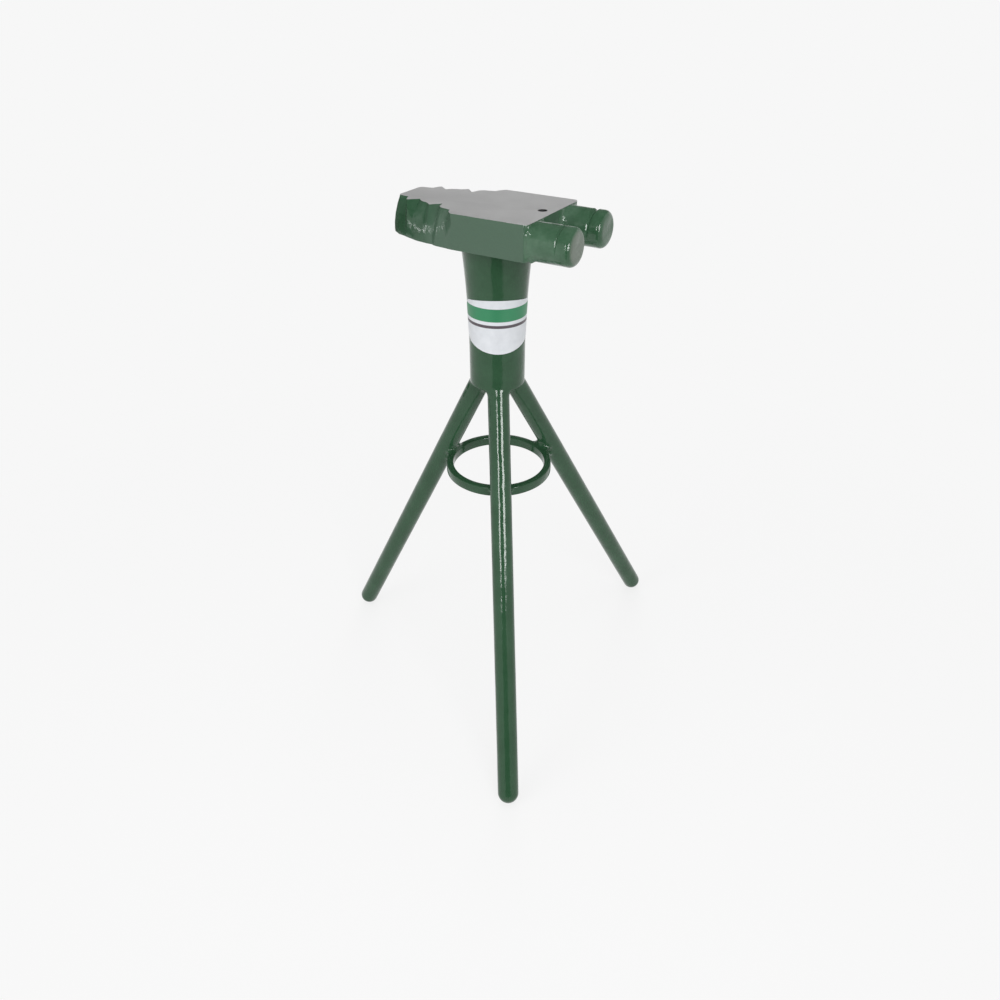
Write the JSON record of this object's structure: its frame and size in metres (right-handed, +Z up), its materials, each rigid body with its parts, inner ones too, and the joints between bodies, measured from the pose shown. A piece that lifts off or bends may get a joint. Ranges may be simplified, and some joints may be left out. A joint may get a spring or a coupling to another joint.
{
  "type": "anvil stand",
  "caption": "Steel anvil block with notched tapering nose and paired round prongs, on a flared post with splayed round-bar legs tied by a welded ring.",
  "frame": {"origin": "on the floor, straight below the middle of the column", "axes": "+X along the head towards the two prongs, +Y across the head, +Z up"},
  "size_m": [0.3481, 0.4126, 0.5588],
  "materials": {
    "green_enamel": "glossy green enamel, brushed thick",
    "weld_enamel": "weld metal under the same green enamel",
    "label_vinyl": "plain off-white self-adhesive vinyl"
  },
  "bodies": {
    "root": {"head_block": "green_enamel", "column": "green_enamel", "near_prong": "green_enamel", "far_prong": "green_enamel", "near_leg": "green_enamel", "far_leg": "green_enamel", "nose_leg": "green_enamel", "brace_ring": "green_enamel", "head_weld": "weld_enamel", "near_prong_weld": "weld_enamel", "far_prong_weld": "weld_enamel", "near_leg_weld": "weld_enamel", "far_leg_weld": "weld_enamel", "nose_leg_weld": "weld_enamel", "near_leg_ring_weld": "weld_enamel", "far_leg_ring_weld": "weld_enamel", "nose_leg_ring_weld": "weld_enamel", "blank_label": "label_vinyl"}
  },
  "joints": []
}
